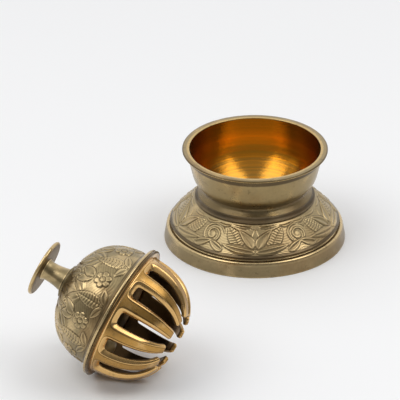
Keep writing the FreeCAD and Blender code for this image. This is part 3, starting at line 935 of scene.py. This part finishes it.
class CLAWBELL_OT_handle(bpy.types.Operator):
    """Builds the collar, the stem and the disc of the handle"""
    bl_idname = "claw_bell.handle"
    bl_label = "Handle"

    def execute(self, context):
        sizes = context.scene.bell_sizes
        dome, last = dome_outline(sizes)[::2]
        bottom = dome[last - 1][1]
        step = bottom + collar_heights[0]
        top = step + collar_heights[1]
        upper = collar_radius - collar_step
        collar = [(bolt_radius, bottom), (collar_radius, bottom), (collar_radius, step),
                  (upper, step), (upper, top), (bolt_radius, top)]
        dark = brass("Dark collar brass", 0.5, 0.4, ("tarnish", "grime_and_shade", "grime_and_shade"), 1.0)
        ring = turned("handle_collar", eased(collar, collar_rounding), 96)
        finish(ring, dark, "bell", "crown_collar")

        end = top + sizes.stem_length
        side = flowing([(radius, top + part * sizes.stem_length) for part, radius in stem_radii], 40)
        metal = brass("Turned handle brass", 0.45, 0.33, lines=1.5)
        outline = eased([(bolt_radius, top)] + side + [(bolt_radius, end)], stem_rounding)
        post = turned("handle_post", outline, 96)
        finish(post, metal, "bell", "handle_stem")

        rim = sizes.disc_radius - disc_thickness / 2
        face = end + disc_thickness
        outline = [(bolt_radius, end)]
        outline += through((rim, end), (sizes.disc_radius, end + disc_thickness / 2), (rim, face), 11)
        outline += through((rim, face), (rim / 2, face + 0.75 * disc_crown),
                           (bolt_head_radius, face + disc_crown), 9)[1:]
        outline = eased(outline + [(bolt_radius, face + disc_crown)], disc_rounding)
        stained = brass("Stained disc brass", 0.4, 0.33, lines=1.5,
                        inside=(("disc_dark", "disc"), 0.5, None), coat=0.05)
        marks = 0.85 * (np.arange(len(outline)) <= row_at(outline, (rim, end)))
        disc = turned("handle_plate", outline, 144, True, marks)
        finish(disc, stained, "bell", "handle_disc")
        return {"FINISHED"}


class CLAWBELL_OT_clapper(bpy.types.Operator):
    """Dresses the bolt, its washer and nut, and the clapper"""
    bl_idname = "claw_bell.clapper"
    bl_label = "Clapper and bolt"

    def execute(self, context):
        wire = brass("Dull wire brass", 0.4, 0.38)
        for name in ("eye_bolt", "crown_washer", "crown_nut", "clapper_link", "clapper_rod"):
            dress(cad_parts[name], wire)
        ball = brass("Clapper brass", 0.5, 0.35, ("claw", "tarnish", "grime_and_shade"))
        dress(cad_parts["clapper_ball"], ball)
        return {"FINISHED"}


# ---------------------------------------------------------------- stand

cup_wall = 1.1 * mm
cup_clearance = 0.7 * mm
cup_rounding = 0.22 * mm
painted_reflection_depth = 22 * mm
rim_slack = 1.6 * mm
rim_lip_thickness = 0.9 * mm
neck_seat_width = 1.1 * mm
neck_ring_height = 3.0 * mm
neck_wall = 1.7 * mm
ring_rounding = 0.1 * mm
skirt_wall = 1.6 * mm
ring_overhang = 0.3 * mm
foot_band_height = 6.7 * mm
foot_band_lean = 1.0 * mm
foot_band_ease = 0.8 * mm
groove_depth = 1.2 * mm
groove_height = 1.5 * mm
shoulder_inset = 2.5 * mm
shoulder_fullness = 1.1


def stand_places(sizes):
    """What the cup, the neck ring and the foot share: the radius of the cup's neck, the height of the
    ring's top and the height of the foot's inside at the neck."""
    seat = sizes.neck_radius - neck_seat_width
    return seat, sizes.skirt_height + neck_ring_height, sizes.skirt_height - skirt_wall


def cup_walls(context, wall):
    """The cup's wall and bowl, wall outside the polished face. The claws set its inside."""
    sizes = context.scene.stand_sizes
    crown = Crown(context.scene.bell_sizes)
    spread = crown.angles[-1] - crown.head_angle
    sides = []
    for part in (0.26, 0.42, 0.6):
        run = np.interp(crown.head_angle + part * spread, crown.angles, crown.run)
        r, z = crown.meridian(run, 0.0)
        sides.append((float(r) + cup_clearance + wall, sizes.height + crown_flange + float(z)))
    throat = sides[-1][0] - wall
    bottom = sizes.height - sizes.cup_depth
    drop = sides[-1][1] - bottom
    ball = (throat ** 2 + drop ** 2) / (2 * drop)
    start = math.asin((ball - drop) / ball)
    bowl = []
    for part in (0.2, 0.4, 0.6, 0.8, 1.0):
        angle = start + part * (math.pi / 2 - start)
        bowl.append((max((ball + wall) * math.cos(angle), 0.0),
                     bottom + ball - (ball + wall) * math.sin(angle)))
    return sides, bowl


def cup_outline(context):
    """The cup from the pole under its bowl over its rim to the pole inside it, and three points on it:
    where the lip starts, the middle of the lip's edge and the first one inside the mouth."""
    sizes = context.scene.stand_sizes
    seat, neck_top, under = stand_places(sizes)
    mouth = context.scene.bell_sizes.crown_radius + rim_slack
    lip_bottom = sizes.height - rim_lip_thickness
    lip_edge = sizes.rim_radius - rim_lip_thickness / 2
    sides, bowl = cup_walls(context, 0.0)
    outer_sides, outer_bowl = cup_walls(context, cup_wall)
    inside = flowing([(mouth, sizes.height)] + sides + bowl, 110)
    outside = flowing([(mouth + cup_wall, lip_bottom)] + outer_sides + [(seat, neck_top)], 60)
    lip = through((lip_edge, lip_bottom), (sizes.rim_radius, sizes.height - rim_lip_thickness / 2),
                  (lip_edge, sizes.height), 9)
    ledge = seat - neck_wall
    outline = flowing(outer_bowl, 24)[::-1] + [(ledge, outer_bowl[0][1]), (ledge, under), (seat, under)]
    outline += outside[::-1] + lip + inside
    outline[0] = (0.0, outline[0][1])
    outline[-1] = (0.0, outline[-1][1])
    return eased(outline, cup_rounding, False), (lip[0], lip[4], inside[1])


def cup_marks(outline, points, context):
    """Which rows lie inside the cup, and which are worn, grimy or painted with shade: the rim brightens
    towards the mouth, a painted shadow runs under the lip, and the outside dulls towards the neck."""
    sizes = context.scene.stand_sizes
    mouth = context.scene.bell_sizes.crown_radius + rim_slack
    # How far below the lip the painted shadow reaches, and over what length it fades.
    line, lip_shadow_fade = 3.4 * mm, 1.2 * mm
    dull, dull_fade = 31 * mm, 7 * mm
    lip_row, rim_row, mouth_row = (row_at(outline, point) for point in points)
    rows = np.arange(len(outline))
    r, z = np.array(outline).T
    across_rim = (sizes.rim_radius - r) / (sizes.rim_radius - mouth)
    marks = np.where((rows >= rim_row) & (rows < mouth_row), 1.7 * across_rim - 0.6, 0.0)
    drop = sizes.height - rim_lip_thickness - z
    lip_shadow = np.clip((line - drop) / lip_shadow_fade, 0, 1)
    marks = np.where((rows < lip_row) & (lip_shadow > 0), -lip_shadow, marks)
    low = np.clip((dull - z) / dull_fade, 0, 1)
    marks = np.where(rows < rim_row, np.minimum(marks, -0.4 * low), marks)
    return (rows >= mouth_row).astype(float), marks


class CLAWBELL_OT_cup(bpy.types.Operator):
    """Builds the turned cup with its polished inside, and the ring round its neck"""
    bl_idname = "claw_bell.cup"
    bl_label = "Cup and neck ring"

    def execute(self, context):
        sizes = context.scene.stand_sizes
        # The colour bands up the cup's inside are painted reflections and painted shade: bright orange
        # where the wall turns into the bowl, deep gold under the rim.
        heights = (sizes.height - painted_reflection_depth, sizes.height)
        metal = brass("Turned cup brass", 0.5 * finishes().rub, 0.27, ("rim", "tarnish", "grime_and_shade"), 2.0,
                      inside=(("gold", "orange", "amber", "amber", "gold_shade_under_rim"), 0.17, heights),
                      even=0.28, spun=0.6)
        outline, points = cup_outline(context)
        cup = turned("turned_cup", outline, 256, False, *cup_marks(outline, points, context))
        finish(cup, metal, "stand", "cup")

        seat, high = stand_places(sizes)[:2]
        low, radius = sizes.skirt_height, sizes.neck_radius
        waist = (radius, low + 1.05 * mm)
        outline = [(seat, low)] + through((radius - 0.4 * mm, low), (radius, low + 0.45 * mm), waist, 7)
        outline += through(waist, ((seat + radius) / 2 - 0.25 * mm, low + 1.74 * mm),
                           (seat + 0.1 * mm, high), 9)[1:]
        outline += [(seat, high)]
        dark = brass("Dark neck brass", 0.4, 0.55, ("ring", "ring_dull", "grime_and_shade"), 1.0)
        ring = turned("neck_moulding", eased(outline, ring_rounding), 192)
        finish(ring, dark, "stand", "neck_ring")
        return {"FINISHED"}


def foot_outline(sizes):
    """The foot's whole outline, the first row of its shoulder and the one after its last, and the point
    at which the band's face ends."""
    seat, under = stand_places(sizes)[::2]
    radius, band = sizes.foot_radius, foot_band_height
    shoulder_radius = radius - shoulder_inset
    groove, groove_top = shoulder_radius - groove_depth, band + groove_height
    ledge = sizes.neck_radius - ring_overhang
    climb, reach = sizes.skirt_height - groove_top, shoulder_radius - ledge
    shoulder, inner = [], []
    for part in (0.0, 0.2, 0.4, 0.6, 0.8, 1.0):
        fall = part ** shoulder_fullness
        shoulder.append((ledge + reach * part, groove_top + climb * (1 - fall)))
        inner.append((seat + (reach - 1.2 * mm) * part, under - (climb + 0.5 * mm) * fall))
    slope = spaced(flowing(shoulder, 200)[::-1], 0.26 * mm)
    inner_foot = radius - skirt_wall
    lining = flowing([(inner_foot - 0.6 * mm, band - 1.5 * mm)] + inner[::-1], 14)
    band_top = (radius - foot_band_lean, band - foot_band_ease)
    outline = [(inner_foot, 0.0), (radius, 0.0)]
    outline += spaced([(radius - 0.1 * mm, 0.6 * mm), band_top], 1.0 * mm)
    outline += through(band_top, (band_top[0] - 0.7 * mm, band - 0.05 * mm),
                       (groove + 0.8 * mm, band - 0.3 * mm), 12)[1:]
    outline += through((groove + 0.4 * mm, band - 0.3 * mm), (groove, band + 0.6 * mm), slope[0], 8)[:-1]
    first, last = len(outline), len(outline) + len(slope)
    return outline + slope + [(seat, sizes.skirt_height)] + lining[::-1], first, last, band_top


def foot_marks(outline, first, last, band_top):
    """Which rows of the foot are worn, grimy or painted with light and shade: its band is dull, the band's
    ledge is worn bright and carries a painted highlight, the groove is painted dark as shade, and painted
    shade darkens the shoulder where it meets the neck ring."""
    rows = np.arange(len(outline))
    run = outline_values(outline, True)[0]
    band_row, groove_row = row_at(outline, band_top), first - 6
    # The band's ledge is worn bright and also carries a painted highlight.
    marks = np.where((rows > band_row + 2) & (rows <= groove_row), 0.9, 0.0)
    marks = np.where((rows > 1) & (run < run[band_row]), -0.3, marks)
    # Painted shade in the groove, reaching 1.4 mm onto the shoulder.
    marks = np.where((rows > groove_row) & (run - run[first] < 1.4 * mm), -0.6, marks)
    # Painted shadow of the neck ring on the top of the shoulder.
    left = run[last] - run
    shade_under_ring = (rows > first) & (left < 1.8 * mm) & (left > -0.1 * mm)
    return np.where(shade_under_ring, 0.5 * left / mm - 0.9, marks)


class CLAWBELL_OT_foot(bpy.types.Operator):
    """Builds the flaring foot with its chased shoulder"""
    bl_idname = "claw_bell.foot"
    bl_label = "Foot"

    def execute(self, context):
        sizes = context.scene.stand_sizes
        metal = brass("Chased foot brass", 0.76 * finishes().rub, 0.28, chased=0.55,
                      inside=(("hollow", "grime_and_shade"), 0.5, None), even=0.5)
        outline, first, last, band_top = foot_outline(sizes)
        foot = chased_piece("chased_foot", outline, first, last, 780, foot_ornament,
                            (0.3, 0.8, 0.8, 1.0), sizes, metal,
                            foot_marks(outline, first, last, band_top))
        finish(foot, metal, "stand", "foot_skirt")
        return {"FINISHED"}


# ---------------------------------------------------------------- studio

floor_reach, floor_drop = 3.0, 0.05 * mm
paper_scale, paper_tones = 3.0, ((0.93, 0.93, 0.93), (0.95, 0.95, 0.95))
lamp_size, lamp_aim = 0.8, (0.0, -0.06, 0.02)
camera_place = Vector((972.55, -2363.60, 1370.52)) * mm
camera_aim = Vector((-24.743, -2.678, 13.525)) * mm
camera_lens = 598.6


def aimed(name, data, place, target):
    """Puts a lamp or a camera in its place, turned to its target."""
    made = bpy.data.objects.new(name, data)
    bpy.context.collection.objects.link(made)
    made.location = place
    made.rotation_euler = (Vector(target) - Vector(place)).to_track_quat("-Z", "Y").to_euler()
    return made


class CLAWBELL_OT_studio(bpy.types.Operator):
    """Builds the floor, the lamps, the sky and the camera"""
    bl_idname = "claw_bell.studio"
    bl_label = "Studio"

    def execute(self, context):
        look = finishes()
        signs = ((-1, -1), (1, -1), (1, 1), (-1, 1))
        floor = raw_mesh("floor", [(x * floor_reach, y * floor_reach, -floor_drop) for x, y in signs],
                         [(0, 1, 2, 3)])
        n, paper, shader = new_material("Pale paper")
        tone = n.mix(n.noise(n.where(), paper_scale, 2.0), *paper_tones)
        n.give(shader, Base_Color=tone, Roughness=0.8, Specular_IOR_Level=0.2)
        dress(floor, paper)

        world = bpy.data.worlds.new("Light tent")
        context.scene.world = world
        world.use_nodes = True
        n = Nodes(world.node_tree)
        direction = n.made("ShaderNodeTexCoord").outputs["Generated"]
        back, up = (-0.56, 0.828, 0.0), (0.0, 0.0, 1.0)
        sides = []
        for axis, low, high, strength in ((back, -0.2, 0.45, look.sky),
                                          (up, 0.5, 0.95, look.sky * look.top_sky)):
            height = n.made("ShaderNodeVectorMath", (direction, axis), operation="DOT_PRODUCT")
            front = look.sky * look.front_sky
            sides.append(n.number(height.outputs["Value"], low, high, front, strength))
        n.give(n.tree.nodes["Background"], Color=(0.98, 0.985, 1.0, 1.0),
               Strength=n.math("MAXIMUM", *sides))

        for name, power, place in (("Right lamp", look.right_light, (0.75, 0.10, 1.05)),
                                   ("Left lamp", look.left_light, (-0.48, -0.59, 1.05))):
            lamp = bpy.data.lights.new(name, "AREA")
            lamp.energy = power
            lamp.shape = "SQUARE"
            lamp.size = lamp_size
            aimed(name, lamp, place, lamp_aim)

        lens = bpy.data.cameras.new("Camera")
        lens.lens = camera_lens
        lens.sensor_width = 36.0
        lens.clip_end = 50.0
        context.scene.camera = aimed("Camera", lens, camera_place, camera_aim)
        context.scene.view_settings.view_transform = "Standard"
        return {"FINISHED"}


# ---------------------------------------------------------------- add-on

GROUPS = {"bell_sizes": BellSizes, "stand_sizes": StandSizes, "finishes": Finishes}
STEPS = (CLAWBELL_OT_dome, CLAWBELL_OT_claws, CLAWBELL_OT_handle, CLAWBELL_OT_clapper,
         CLAWBELL_OT_cup, CLAWBELL_OT_foot, CLAWBELL_OT_studio)


class CLAWBELL_PT_panel(bpy.types.Panel):
    """Lists the bell's pieces and the sizes and colours that can be changed"""
    bl_idname = "CLAWBELL_PT_panel"
    bl_label = "Claw bell"
    bl_space_type = "VIEW_3D"
    bl_region_type = "UI"
    bl_category = "Claw bell"

    def draw(self, context):
        for step in STEPS:
            self.layout.operator(step.bl_idname)
        for name in GROUPS:
            group = getattr(context.scene, name)
            box = self.layout.box()
            box.label(text=name.replace("_", " ").capitalize())
            for key in group.bl_rna.properties.keys():
                if key not in ("rna_type", "name"):
                    box.prop(group, key)


CLASSES = (*GROUPS.values(), *STEPS, CLAWBELL_PT_panel)


def register():
    for item in CLASSES:
        bpy.utils.register_class(item)
    for key, group in GROUPS.items():
        setattr(bpy.types.Scene, key, PointerProperty(type=group))


def unregister():
    for key in GROUPS:
        delattr(bpy.types.Scene, key)
    for item in reversed(CLASSES):
        bpy.utils.unregister_class(item)


def main():
    register()
    bpy.ops.claw_bell.dome()
    bpy.ops.claw_bell.claws()
    bpy.ops.claw_bell.handle()
    bpy.ops.claw_bell.clapper()
    bpy.ops.claw_bell.cup()
    bpy.ops.claw_bell.foot()
    bpy.ops.claw_bell.studio()


if __name__ == "__main__":
    main()
